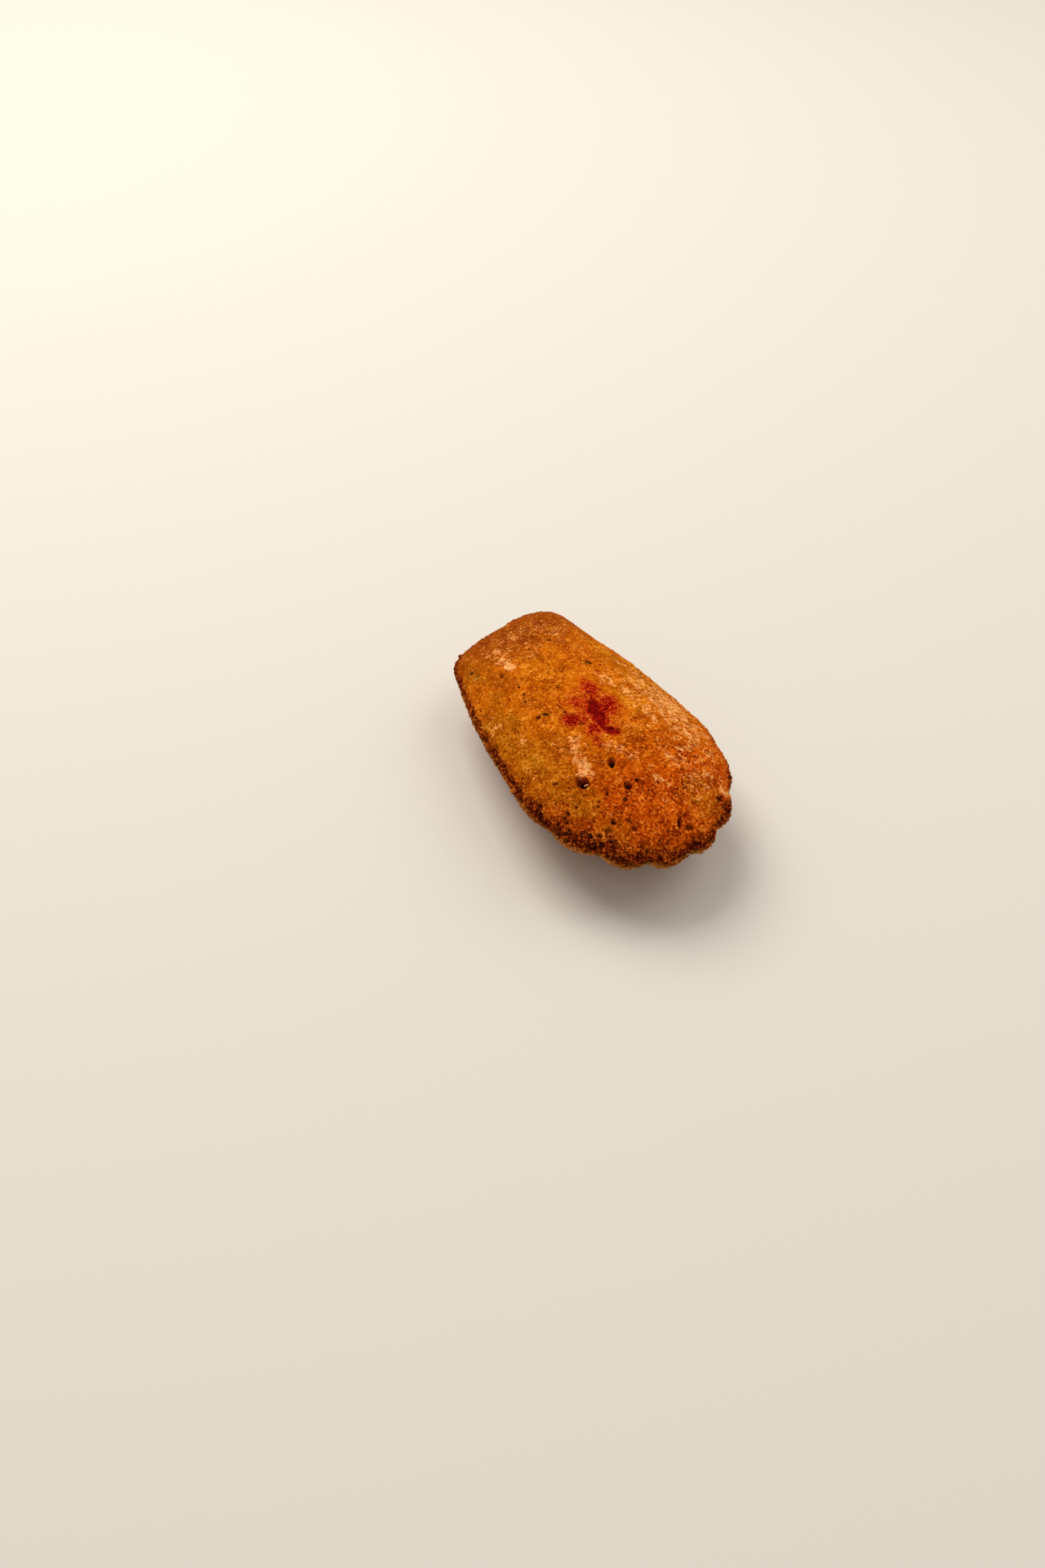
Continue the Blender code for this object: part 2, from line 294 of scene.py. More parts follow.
# Colours along the grit, from its pits to its tips: the place on the ramp and the linear colour there
ORANGE = (
    (0.05, (0.22, 0.027, 0.0003)),
    (0.38, (0.42, 0.075, 0.0005)),
    (0.62, (0.60, 0.140, 0.0012)),
    (0.95, (0.86, 0.310, 0.0300)),
)
GOLDEN = (
    (0.05, (0.22, 0.034, 0.0002)),
    (0.40, (0.37, 0.084, 0.0004)),
    (0.62, (0.53, 0.153, 0.0015)),
    (0.95, (0.82, 0.330, 0.0350)),
)
BROWN = (
    (0.05, (0.14, 0.015, 0.0002)),
    (0.40, (0.23, 0.036, 0.0003)),
    (0.62, (0.33, 0.066, 0.0008)),
    (0.95, (0.60, 0.190, 0.0230)),
)
RUSSET = (
    (0.05, (0.17, 0.012, 0.0001)),
    (0.36, (0.38, 0.038, 0.0002)),
    (0.62, (0.62, 0.088, 0.0006)),
    (0.95, (0.88, 0.240, 0.0200)),
)
# The toasted band's colours, which also paint shade along its near side
BURNT_AND_SHADED = (
    (0.10, (0.045, 0.0025, 0.0002)),
    (0.48, (0.165, 0.0135, 0.0003)),
    (0.95, (0.66, 0.125, 0.0040)),
)
SOAKED_RED = (
    (0.10, (0.075, 0.0002, 0.0001)),
    (0.50, (0.28, 0.0035, 0.0006)),
    (0.95, (0.62, 0.060, 0.0060)),
)
SHELL_BROWN = (
    (0.1, (0.20, 0.045, 0.004)),
    (0.5, (0.36, 0.100, 0.010)),
    (0.95, (0.60, 0.240, 0.050)),
)
JAM_RED = (
    (0.36, (0.075, 0.0002, 0.0001)),
    (0.50, (0.190, 0.0010, 0.0002)),
    (0.64, (0.380, 0.0080, 0.0008)),
)

# Single colours, linear
OLIVE_GREEN = (0.28, 0.095, 0.001)
PEACH, PALE_FLOUR = (0.80, 0.24, 0.024), (0.90, 0.40, 0.125)
# Painted shade in the bowls of the rim's broken bubbles
BUBBLE_SHADE = (0.055, 0.005, 0.0006)
JAM_HAZE = (0.34, 0.028, 0.0006)
# Painted shade at the bottom of the pores and flecks
PORE_SHADE = (0.020, 0.0035, 0.0004)
FLECK_BLACK = (0.012, 0.012, 0.002)
SHELL_GROOVE = (0.56, 0.23, 0.045)
WARM_SUGAR, LIGHT_SUGAR, RIM_SUGAR = (0.72, 0.22, 0.025), (0.90, 0.46, 0.160), (0.85, 0.66, 0.44)
FLOOR_COLOUR = (0.70, 0.645, 0.565)

# Camera, lights and floor
LENS, SENSOR = 30.0, 36.0
CAMERA_AZIMUTH, CAMERA_ELEVATION = math.radians(59.65), math.radians(48.13)
CAMERA_ROLL = math.radians(-0.38)
CAMERA_DISTANCE = 277.7 * MM
CAMERA_AIM = Vector((5.85 * MM, -19.56 * MM, RIM_HEIGHT))
CLIP_START = 10 * MM
ROOM_COLOUR, ROOM_STRENGTH = (1.0, 0.99, 0.98, 1.0), 0.46
FLOOR_SIZE = 4000 * MM

# A soft light: degrees round from the camera and above the floor, metres away and across, watts and colour
Softbox = namedtuple("Softbox", "name azimuth elevation distance size power colour")
SOFTBOXES = (
    Softbox("key_light", -145, 52, 0.9, 0.6, 6.6, (1.0, 0.98, 0.94)),
    Softbox("right_light", 120, 50, 1.1, 0.8, 3.3, (1.0, 0.99, 0.97)),
)


def smooth_step(low, high, value):
    """0 below low, 1 above high, and an S-curve between them."""
    share = np.clip((value - low) / (high - low), 0.0, 1.0)
    return share * share * (3 - 2 * share)


def field(points, size, shift=0.0, octaves=1):
    """Smooth noise with lumps of a size, from about -1 to 1."""
    offset = Vector((shift, shift, shift))
    total = np.zeros(len(points))
    for octave in range(octaves):
        scale = 2.0**octave / size
        total += [noise.noise(Vector(point) * scale + offset) for point in points] / np.float64(2.0**octave)
    return total


def curls(points, size, shift, thin=3.0):
    """1 along winding lines, spaced about a size apart, falling to 0 between them."""
    return np.clip(1 - thin * np.abs(field(points, size, shift)), 0.0, 1.0)


def cells(points, size):
    """1 in the middle of each cell of a size, falling to 0 at the walls between them."""
    walls = []
    for point in points:
        near, next_near = noise.voronoi(Vector(point) / size)[0][:2]
        walls.append(min(1.0, (next_near - near) * CELL_WALL))
    return np.array(walls)


# The cake's form


def half_width(x):
    """Half the cake's width at x."""
    along = np.clip(x + LENGTH / 2, 0.0, LENGTH)
    past = np.clip((along - WIDEST_FROM_HINGE) / (LENGTH - WIDEST_FROM_HINGE), 0.0, 1.0)
    wide_end = WIDTH / 2 * np.sqrt(1 - past * past)
    swell = 1 - np.clip(1 - along / WIDEST_FROM_HINGE, 0.0, 1.0) ** FLARE_EASE
    side = HINGE_WIDTH / 2 + (WIDTH - HINGE_WIDTH) / 2 * swell
    corner = 1 - np.clip(along / HINGE_CORNER, 0.0, 1.0)
    flared = side * (1 - corner**CORNER_POWER) ** (1 / CORNER_POWER)
    return np.where(along > WIDEST_FROM_HINGE, wide_end, flared)


def reach(hub_x, angle):
    """Distance from the hub on the long axis to the outline, in each direction."""
    inside = np.zeros_like(angle)
    outside = np.full_like(angle, LENGTH)
    for _ in range(HALVINGS):
        middle = (inside + outside) / 2
        x = hub_x + middle * np.cos(angle)
        y = middle * np.sin(angle)
        slanted_x = x + HINGE_SLANT * y * smooth_step(0.0, LENGTH / 2, -x)
        within = np.abs(y) < half_width(slanted_x)
        inside = np.where(within, middle, inside)
        outside = np.where(within, outside, middle)
    return inside


def groove(points, height):
    """How deep the shell's grooves cut at each point, at a latitude with that sine."""
    from_fan = points[:, 0] + LENGTH / 2 + FAN_BEHIND_HINGE
    ribs_off_axis = np.arctan2(points[:, 1], from_fan) / RIB_PITCH
    wave = np.hypot(np.sin(math.pi * ribs_off_axis), GROOVE_SOFTNESS)
    dip = 1 - wave / math.hypot(1, GROOVE_SOFTNESS)
    off_axis = np.abs(ribs_off_axis)
    fade_from, fade_to = (RIBS / 2 + ribs for ribs in FADE_PAST_LAST)
    inner = 1 - smooth_step(fade_from, fade_to, off_axis)
    far = smooth_step(GROOVE_STARTS, GROOVE_FULL, np.hypot(points[:, 1], from_fan))
    from_hinge = HINGE_GROOVE + (1 - HINGE_GROOVE) * far
    rim_share = SCALLOP_SHARE * (1 - smooth_step(SCALLOPED_RIBS, RIBS / 2, off_axis))
    near_rim = 1 + (rim_share - 1) * smooth_step(RIM_BLEND, 0.0, height)
    over_rim = 1 - smooth_step(0.0, SCALLOP_TOP, height)
    return GROOVE_DEPTH * dip * inner * from_hinge * near_rim * over_rim


def inflated_box():
    """A unit ball made from a box, so that its faces run in even rows along and across the cake."""
    bm = bmesh.new()
    bmesh.ops.create_cube(bm, size=2.0)
    for axis, faces in enumerate((FACES_ALONG, FACES_ACROSS, FACES_UP)):
        spans = {edge: abs(edge.verts[0].co[axis] - edge.verts[1].co[axis]) for edge in bm.edges}
        along_axis = [edge for edge, span in spans.items() if span > 1]
        bmesh.ops.subdivide_edges(bm, edges=along_axis, cuts=faces - 1, use_grid_fill=True)
    for vert in bm.verts:
        even = Vector(math.tan(share * math.pi / 4) for share in vert.co)
        vert.co = even.normalized()
    return bm


def ball_points(bm):
    """The bmesh's vertices as rows of an array, on the unit ball."""
    points = np.array([vert.co for vert in bm.verts])
    return points / np.linalg.norm(points, axis=1, keepdims=True)


def shell_points(ball):
    """The smooth shell, without ribs: the places of the unit ball's points, and how far in they lie."""
    hub_x = LENGTH * (CROWN_PEAK - 0.5)
    ring = np.minimum(1.0, np.hypot(ball[:, 0], ball[:, 1]))
    angle = np.arctan2(ball[:, 1], ball[:, 0])
    outline = reach(hub_x, angle)
    upper = ball[:, 2] >= 0
    belly_shift = np.where(upper, 0.0, LENGTH * (BELLY_LOW - CROWN_PEAK) * (1 - ring * ring))
    x = hub_x + outline * ring * np.cos(angle) + belly_shift
    y = outline * ring * np.sin(angle)
    near_hinge = smooth_step(*HINGE_SPREAD, -np.cos(angle))
    roundness = CROWN_ROUND + (HINGE_ROUND - CROWN_ROUND) * near_hinge
    rise = (CROWN_HEIGHT - RIM_HEIGHT) * (1 - ring**CROWN_POWER) ** roundness
    drop = (RIM_HEIGHT + PRESSED_FLAT) * (1 - ring**BELLY_POWER) ** BELLY_ROUND
    z = RIM_HEIGHT + np.where(upper, rise, -drop)
    return np.stack((x, y, z), axis=1), outline * (1 - ring)


def refine(bm, chosen):
    """Halves the edges of the chosen faces."""
    edges = {edge for face in bm.faces if chosen[face.index] for edge in face.edges}
    bmesh.ops.subdivide_edges(bm, edges=list(edges), cuts=1, use_grid_fill=True)
    bm.verts.index_update()
    bm.faces.ensure_lookup_table()
    bm.faces.index_update()


def face_middles(bm, points):
    """The middle of each face, from an array of its vertices' places."""
    return np.array([points[[vert.index for vert in face.verts]].mean(axis=0) for face in bm.faces])


class Skin:
    """The cake's skin as arrays: places, normals and the masks that its finish reads."""

    def __init__(self, mesh, ball, from_rim):
        self.mesh = mesh
        self.ball = ball
        self.from_rim = from_rim
        self.masks = {}

    def read(self):
        """Reads places and normals back from the mesh."""
        count = len(self.mesh.vertices)
        self.points = np.empty(count * 3)
        self.mesh.vertices.foreach_get("co", self.points)
        self.points = self.points.reshape(-1, 3)
        self.normals = np.empty(count * 3, dtype=np.float32)
        self.mesh.vertex_normals.foreach_get("vector", self.normals)
        self.normals = self.normals.reshape(-1, 3).astype(float)

    def move(self, points):
        """Puts the vertices in new places."""
        self.mesh.vertices.foreach_set("co", np.ascontiguousarray(points, dtype=np.float32).ravel())
        self.mesh.update()
        self.read()


def top_seed(skin, x, y):
    """The vertex of the crown under a place in plan."""
    away = np.hypot(skin.points[:, 0] - x * MM, skin.points[:, 1] - y * MM)
    away[skin.ball[:, 2] < 0] = 1.0
    return int(away.argmin())


def pit_shares(skin, seed, pit, ragged):
    """Distance from a pit's middle along the skin, where 1 is its edge, for the vertices near it."""
    middle, out = skin.points[seed], skin.normals[seed]
    long, wide, turn = pit.long * MM, pit.wide * MM, math.radians(pit.turn)
    size = max(long, wide)
    near = np.flatnonzero(((skin.points - middle) ** 2).sum(axis=1) < (PIT_RANGE * size) ** 2)
    along = np.array((math.cos(turn), math.sin(turn), 0.0))
    along -= out * along.dot(out)
    along /= np.linalg.norm(along)
    across = np.cross(out, along)
    offset = skin.points[near] - middle
    shares = np.hypot(offset @ along / long, offset @ across / wide)
    shares *= 1 + ragged * field(skin.points[near], RAGGED_SIZE, 7.0)
    return near, shares


def press(skin, dip, seed, pit, lip=0.0, ragged=PIT_RAGGED, flat=0.25):
    """Adds a pit to the vertices' dips: lip is a low rim round it, and flat its bottom's share of it."""
    near, shares = pit_shares(skin, seed, pit, ragged)
    bowl = 1 - smooth_step(flat, PIT_EDGE, shares)
    collar_from, collar_to = PIT_COLLAR
    collar = smooth_step(collar_from, PIT_EDGE, shares) * (1 - smooth_step(PIT_EDGE, collar_to, shares))
    dip[near] = np.maximum(dip[near], pit.deep * MM * bowl) - pit.deep * MM * lip * collar
    return near, bowl


def patch_mask(skin, patches, wobble=0.35, core=0.45, fade=1.25):
    """Soft patches on the crown, full up to the core, gone at the fade and broken up by noise."""
    ragged = wobble * field(skin.points, PATCH_WOBBLE, 3.0, octaves=2)
    mask = np.zeros(len(skin.points))
    for patch in patches:
        turn = math.radians(patch.turn)
        x, y = skin.points[:, 0] - patch.x * MM, skin.points[:, 1] - patch.y * MM
        along = (x * math.cos(turn) + y * math.sin(turn)) / (patch.long * MM)
        across = (y * math.cos(turn) - x * math.sin(turn)) / (patch.wide * MM)
        inside = 1 - smooth_step(core, fade, np.hypot(along, across) * (1 + ragged))
        mask = np.maximum(mask, patch.strength * inside)
    return mask * smooth_step(*PATCH_BLEND, skin.ball[:, 2])


def make_skin():
    """The cake's smooth skin: the shell, its ribs and its slow unevenness."""
    bm = inflated_box()
    bm.faces.ensure_lookup_table()
    refine(bm, face_middles(bm, ball_points(bm))[:, 2] > REFINED_FROM)
    middles = face_middles(bm, shell_points(ball_points(bm))[0])
    chosen = np.zeros(len(middles), dtype=bool)
    for pit in PORES + FLECKS + JAM_PORES + JAM_MOUTH:
        away = np.hypot(middles[:, 0] - pit.x * MM, middles[:, 1] - pit.y * MM)
        chosen |= (away < (pit.long + REFINED_MARGIN) * MM) & (middles[:, 2] > RIM_HEIGHT)
    refine(bm, chosen)

    ball = ball_points(bm)
    points, from_rim = shell_points(ball)
    mesh = bpy.data.meshes.new("cake_crumb")
    bm.to_mesh(mesh)
    bm.free()
    skin = Skin(mesh, ball, from_rim)
    skin.move(points)

    grooves = groove(skin.points, ball[:, 2])
    lumps = LUMP_HEIGHT * field(skin.points, LUMP_SIZE)
    points = skin.points - skin.normals * (grooves - lumps)[:, None]
    for axis in (0, 1):
        points[:, axis] -= (points[:, axis].min() + points[:, axis].max()) / 2
    skin.move(points)
    skin.grooves = grooves / GROOVE_DEPTH
    return skin


def toasted(skin):
    """How far each place is toasted, with painted shade along the near side: the rim, most of all round the
    near side of the wide end.
    """
    x, y = skin.points[:, 0], skin.points[:, 1]
    wobble = field(skin.points, TOAST_WOBBLE_SIZE, 11.0, octaves=3)
    near_side = 1 - smooth_step(*TOAST_ACROSS, y)
    wide_end = smooth_step(*TOAST_FROM_HINGE, x)
    reach_in = wide_end * (0.2 + 0.8 * near_side) + 0.45 * smooth_step(*TOAST_TIP, x)
    # The near side's wider band is toasting and painted shade
    band = TOAST_LEAST + TOAST_AND_SHADE_NEAR_SIDE * near_side + TOAST_WIDE_END * reach_in
    band += (TOAST_WOBBLE + TOAST_WOBBLE_WIDE_END * reach_in) * wobble
    crown = 1 - smooth_step(TOAST_FULL, TOAST_FADE * np.maximum(band, NARROWEST_TOAST), skin.from_rim)
    return crown * smooth_step(*TOAST_BLEND, skin.ball[:, 2])


def coarse_end(skin):
    """1 over the wide end's coarse crumb and 0 over the rest, with an edge that wanders."""
    wander = WIDE_END_WANDER * field(skin.points, WANDER_SIZE, 2.0)
    return smooth_step(WIDE_END_FROM, WIDE_END_FULL, skin.points[:, 0] + wander)


def roughness(skin, wide_end, toast_and_shade):
    """How far the crumb's relief stands out at each place."""
    near_hinge = 1 - smooth_step(*SMOOTHER_HINGE, skin.points[:, 0])
    patchy = 0.35 * field(skin.points, ROUGH_PATCH, 15.0, octaves=2)
    rough = 0.62 + patchy + 0.16 * wide_end + 0.4 * toast_and_shade - 0.15 * near_hinge
    return np.clip(rough, *ROUGH_LIMITS)


def crumb_height(skin):
    """The crumb's winding ridges and cells, from about -0.75 to 0.85, and the cells alone."""
    wide = curls(skin.points, WIDE_CURLS, 1.0)
    narrow = curls(skin.points, NARROW_CURLS, 4.0, 2.4)
    crumb = cells(skin.points, CELL_SIZE)
    return (wide * 0.45 + narrow * 0.55 - 0.45) * 1.1 + (crumb - 0.5) * 0.5, crumb


def press_bubbles(skin, dip, toast_and_shade, chance):
    """Breaks bubbles open where the chance is high, and returns the mask of their bowls, which the finish
    darkens as painted shade.
    """
    broken = np.zeros(len(skin.points))
    random = np.random.default_rng(BUBBLE_SEED)
    seeds = random.choice(len(skin.points), RIM_BUBBLES, p=chance / chance.sum())
    for seed in seeds:
        half = random.uniform(*BUBBLE_HALF) / MM * (0.6 + 0.4 * toast_and_shade[seed])
        long = half * random.uniform(*BUBBLE_STRETCH)
        pit = Pit(0, 0, long, half, half * BUBBLE_DEPTH, random.uniform(0, 180))
        near, bowl = press(skin, dip, seed, pit, lip=BUBBLE_LIP)
        broken[near] = np.maximum(broken[near], bowl)
    return broken


def press_pores(skin, dip):
    """Presses the placed pores and flecks in, and returns how far each place in them is darkened as painted
    shade.
    """
    dark = np.zeros(len(skin.points))
    for pit in PORES + FLECKS + JAM_PORES:
        near, bowl = press(skin, dip, top_seed(skin, pit.x, pit.y), pit, lip=PORE_LIP, flat=PORE_FLAT)
        # Painted shade, strongest at a pit's bottom and in deep pits
        dark[near] = np.maximum(dark[near], bowl**3 * min(1.0, DARK_FROM + pit.deep / DARK_DEPTH))
    return dark


def press_mouth(skin, dip):
    """Tears the jam's mouth open, and returns the mask of it."""
    mouth = np.zeros(len(skin.points))
    for pit in JAM_MOUTH:
        near, bowl = press(skin, dip, top_seed(skin, pit.x, pit.y), pit, ragged=MOUTH_RAGGED)
        mouth[near] = np.maximum(mouth[near], bowl)
    return mouth


def fleck_mask(skin):
    """1 inside the green-black flecks."""
    flecks = np.zeros(len(skin.points))
    for pit in FLECKS:
        near, shares = pit_shares(skin, top_seed(skin, pit.x, pit.y), pit, 0.3)
        flecks[near] = np.maximum(flecks[near], 1 - smooth_step(0.5, 1.1, shares))
    return flecks


def add_relief(skin):
    """Presses and raises the skin: crumb, mounds, bubbles, pores and the mouth of the jam."""
    upper = smooth_step(*CROWN_BLEND, skin.ball[:, 2])
    toast_and_shade = toasted(skin)
    wide_end = coarse_end(skin)
    rough = roughness(skin, wide_end, toast_and_shade)
    height, crumb = crumb_height(skin)
    mounds = MOUND_HEIGHT * field(skin.points, MOUND_SIZE, 5.0, octaves=2)
    near_rim = 1 - smooth_step(*RIM_LUMPS_FADE, skin.from_rim)
    rim_lumps = RIM_LUMP_HEIGHT * near_rim * field(skin.points, RIM_LUMP_SIZE, 8.0, octaves=2)
    rise = upper * (mounds + rim_lumps + CRUMB_RELIEF * rough * height)
    rise += (1 - upper) * SHELL_RELIEF * (crumb - 0.5)

    dip = np.zeros(len(skin.points))
    along_rim = BUBBLES_AT_HINGE + smooth_step(*BUBBLES_FROM_HINGE, skin.points[:, 0])
    broken = press_bubbles(skin, dip, toast_and_shade, toast_and_shade * along_rim + BUBBLES_ON_CROWN * wide_end * upper)
    dark = press_pores(skin, dip)
    mouth = press_mouth(skin, dip)

    # The pores' and bubbles' masks and part of the toasted band carry painted shade, and the relief's
    # height carries painted light and shade
    skin.masks = {
        "toast_and_shade": toast_and_shade,
        "edge": 1 - smooth_step(*BAKED_EDGE, skin.from_rim),
        "baked": patch_mask(skin, BAKED),
        "wide_end": wide_end,
        "rough": rough,
        # Read by the finish as painted light on the relief's tops and painted shade in its hollows
        "high": height,
        "flour": patch_mask(skin, FLOUR, wobble=0.9, core=0.1, fade=1.4),
        "gold": patch_mask(skin, GOLD),
        "olive": patch_mask(skin, OLIVE),
        "stain": np.maximum(patch_mask(skin, STAIN, wobble=0.3, core=0.05, fade=1.3), 1.5 * mouth),
        "dark": dark,
        "bubble": broken,
        "fleck": fleck_mask(skin),
        "shell": 1 - upper,
        "groove": skin.grooves,
    }
    points = skin.points + skin.normals * (rise - dip)[:, None]
    points[:, 2] = np.maximum(points[:, 2], 0.0)
    skin.move(points)


def write_masks(mesh, masks, rows=None):
    """Stores each mask on a mesh's vertices."""
    for name, values in masks.items():
        layer = mesh.attributes.new(name, "FLOAT", "POINT")
        chosen = values if rows is None else values[rows]
        layer.data.foreach_set("value", np.ascontiguousarray(chosen, dtype=np.float32))


def new_piece(name, mesh, finish):
    """Makes a smooth-shaded piece of a mesh."""
    mesh.shade_smooth()
    mesh.materials.append(finish)
    piece = bpy.data.objects.new(name, mesh)
    bpy.context.scene.collection.objects.link(piece)
    return piece


# Grains


def grain_masters(count, random):
    """A few small lumps, each a different broken shape, as arrays of vertices and of shared faces."""
    shapes = []
    for _ in range(count):
        bm = bmesh.new()
        bmesh.ops.create_icosphere(bm, subdivisions=1, radius=1.0)
        for vert in bm.verts:
            vert.co *= random.uniform(*GRAIN_KNOBS)
        shapes.append(np.array([vert.co for vert in bm.verts]))
        faces = np.array([[vert.index for vert in face.verts] for face in bm.faces])
        bm.free()
    return shapes, faces


def pick_places(skin, weight, count, random):
    """Random places on the skin, denser where the weight is higher, with the nearest vertex of each."""
    mesh = skin.mesh
    mesh.calc_loop_triangles()
    corners = np.empty(len(mesh.loop_triangles) * 3, dtype=np.int32)
    mesh.loop_triangles.foreach_get("vertices", corners)
    corners = corners.reshape(-1, 3)
    a, b, c = (skin.points[corners[:, corner]] for corner in range(3))
    area = np.linalg.norm(np.cross(b - a, c - a), axis=1)
    chance = area * weight[corners].mean(axis=1)
    chosen = random.choice(len(corners), count, p=chance / chance.sum())
    mix = random.dirichlet((1, 1, 1), count)
    places = (mix[:, :, None] * np.stack((a, b, c), axis=1)[chosen]).sum(axis=1)
    rows = corners[chosen, mix.argmax(axis=1)]
    return places, rows


def scatter(name, skin, weight, grains, finish):
    """One joined mesh of flattened grains that sit in the skin, denser where the weight is higher."""
    random = np.random.default_rng(grains.seed)
    masters, faces = grain_masters(GRAIN_SHAPES, random)
    count = grains.count
    places, rows = pick_places(skin, weight, count, random)
    size = grains.least + (grains.largest - grains.least) * random.uniform(0.0, 1.0, count) ** 2
    stretch = random.uniform(*GRAIN_STRETCH, (count, 3)) * size[:, None]
    stretch[:, 2] *= grains.flatness
    out = skin.normals[rows]
    side = np.cross(out, random.normal(size=(count, 3)))
    side /= np.linalg.norm(side, axis=1, keepdims=True)
    axes = np.stack((side, np.cross(out, side), out), axis=2)
    shapes = np.array(masters)[np.arange(count) % len(masters)] * stretch[:, None, :]
    middles = places + out * (stretch[:, 2] * grains.lift)[:, None]
    corners = (np.einsum("gij,gvj->gvi", axes, shapes) + middles[:, None, :]).reshape(-1, 3)
    corners[:, 2] = np.maximum(corners[:, 2], 0.0)
    each = len(masters[0])
    all_faces = (faces[None] + each * np.arange(count)[:, None, None]).reshape(-1, 3)
    mesh = bpy.data.meshes.new(name)
    mesh.from_pydata(corners.tolist(), [], all_faces.tolist())
    write_masks(mesh, skin.masks, np.repeat(rows, each))
    tint = mesh.attributes.new("tint", "FLOAT", "POINT")
    tint.data.foreach_set("value", np.repeat(random.uniform(-1, 1, count), each).astype(np.float32))
    return new_piece(name, mesh, finish)


def make_flakes(skin, finish):
    """The pale flakes at the big pore, as one piece."""
    bm = bmesh.new()
    for flake in FLAKES:
        seed = top_seed(skin, flake.x, flake.y)
        level, out = skin.points[seed][2], Vector(skin.normals[seed])
        if flake.hung:
            away = np.hypot(skin.points[:, 0] - flake.x * MM, skin.points[:, 1] - flake.y * MM)
            level = np.percentile(skin.points[(away < MOUTH_REACH) & (skin.ball[:, 2] > 0), 2], MOUTH_LEVEL)
            out = Vector((0.0, 0.0, 1.0))
        place = Vector((flake.x * MM, flake.y * MM, level)) + out * (flake.lift * MM)
        made = bmesh.ops.create_icosphere(bm, subdivisions=3, radius=1.0)
        size = Vector((flake.long, flake.wide, flake.thick)) * MM
        shape = Matrix.Translation(place) @ out.to_track_quat("Z", "X").to_matrix().to_4x4()
        shape @= Matrix.Rotation(math.radians(flake.turn), 4, "Z") @ Matrix.Diagonal((*size, 1.0))
        bmesh.ops.transform(bm, matrix=shape, verts=made["verts"])
    uneven = field([vert.co for vert in bm.verts], FLAKE_LUMP_SIZE, 6.0, octaves=2)
    bm.normal_update()
    for vert, rise in zip(bm.verts, uneven):
        vert.co += vert.normal * rise * FLAKE_LUMP_HEIGHT
    mesh = bpy.data.meshes.new("pore_flakes")
    bm.to_mesh(mesh)
    bm.free()
    flakes = new_piece("pore_flakes", mesh, finish)
    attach(flakes, "root")


# Finishes


class Value:
    """A shader socket whose operators add Math nodes."""

    def __init__(self, finish, socket):
        self.finish = finish
        self.socket = socket

    def math(self, operation, *terms):
        return self.finish.node("ShaderNodeMath", {"operation": operation}, dict(enumerate(terms)))

    def __add__(self, other):
        return self.math("ADD", self, other)

    __radd__ = __add__

    def __mul__(self, other):
        return self.math("MULTIPLY", self, other)

    __rmul__ = __mul__

    def __sub__(self, other):
        return self.math("SUBTRACT", self, other)

    def __rsub__(self, other):
        return self.math("SUBTRACT", other, self)

    def __abs__(self):
        return self.math("ABSOLUTE", self)

    def clamp(self):
        return self.finish.node("ShaderNodeClamp", {}, {"Value": self})

    def step(self, low, high):
        """0 below low, 1 above high, and an S-curve between them."""
        sockets = {"Value": self, "From Min": low, "From Max": high}
        return self.finish.node("ShaderNodeMapRange", {"interpolation_type": "SMOOTHSTEP"}, sockets)


class Finish:
    """A material and the few ways of adding nodes to it."""

    def __init__(self, name):
        self.material = bpy.data.materials.new(name)
        self.material.use_nodes = True
        self.tree = self.material.node_tree
        self.shader = self.tree.nodes["Principled BSDF"]

    def node(self, kind, settings, sockets, output=0):
        """Adds a node: its settings first, then its sockets' values or links."""
        made = self.tree.nodes.new(kind)
        stops = settings.get("stops")
        for key, value in settings.items():
            if key != "stops":
                setattr(made, key, value)
        if stops:
            ramp = made.color_ramp
            while len(ramp.elements) < len(stops):
                ramp.elements.new(0.5)
            for element, (place, colour) in zip(ramp.elements, stops):
                element.position = place
                element.color = (*colour, 1.0)
        for key, value in sockets.items():
            self.set(made.inputs[key], value)
        return Value(self, made.outputs[output])

    def set(self, socket, value):
        """Links a socket or gives it a constant."""
        if isinstance(value, Value):
            self.tree.links.new(value.socket, socket)
        elif isinstance(value, tuple) and len(value) == 3 and len(socket.default_value) == 4:
            socket.default_value = (*value, 1.0)
        else:
            socket.default_value = value

    def place(self):
        return self.node("ShaderNodeTexCoord", {}, {}, "Object")

    def mask(self, name):
        return self.node("ShaderNodeAttribute", {"attribute_name": name}, {}, "Fac")

    def noise(self, place, size, detail=2.0, roughness=0.5):
        sockets = {"Vector": place, "Scale": 1 / size, "Detail": detail, "Roughness": roughness}
        return self.node("ShaderNodeTexNoise", {}, sockets, "Fac")

    def curls(self, place, size, thin):
        """1 along winding lines, spaced about a size apart, falling to 0 between them."""
        return (1 - abs(self.noise(place, size, 1.0) - 0.5) * thin).clamp()

    def ramp(self, value, stops):
        return self.node("ShaderNodeValToRGB", {"stops": stops}, {"Fac": value})

    def mix(self, share, first, second):
        """Mixes two colours; the Mix node's sockets 6 and 7 and its output 2 are its colours."""
        return self.node("ShaderNodeMix", {"data_type": "RGBA"}, {0: share, 6: first, 7: second}, 2)

    def bump(self, height, distance, strength):
        sockets = {"Height": height, "Distance": distance, "Strength": strength}
        return self.node("ShaderNodeBump", {}, sockets)

    def give(self, **values):
        """Sets or links the shader's own sockets, whose names have underscores here for spaces."""
        for key, value in values.items():
            self.set(self.shader.inputs[key.replace("_", " ")], value)
        return self.material


# The crumb's grain: its noises, the grit that they and the relief's painted light and shade add up to, and
# the grit's place on a ramp
CrumbGrain = namedtuple("CrumbGrain", "speck fine clumps threads grit shade")


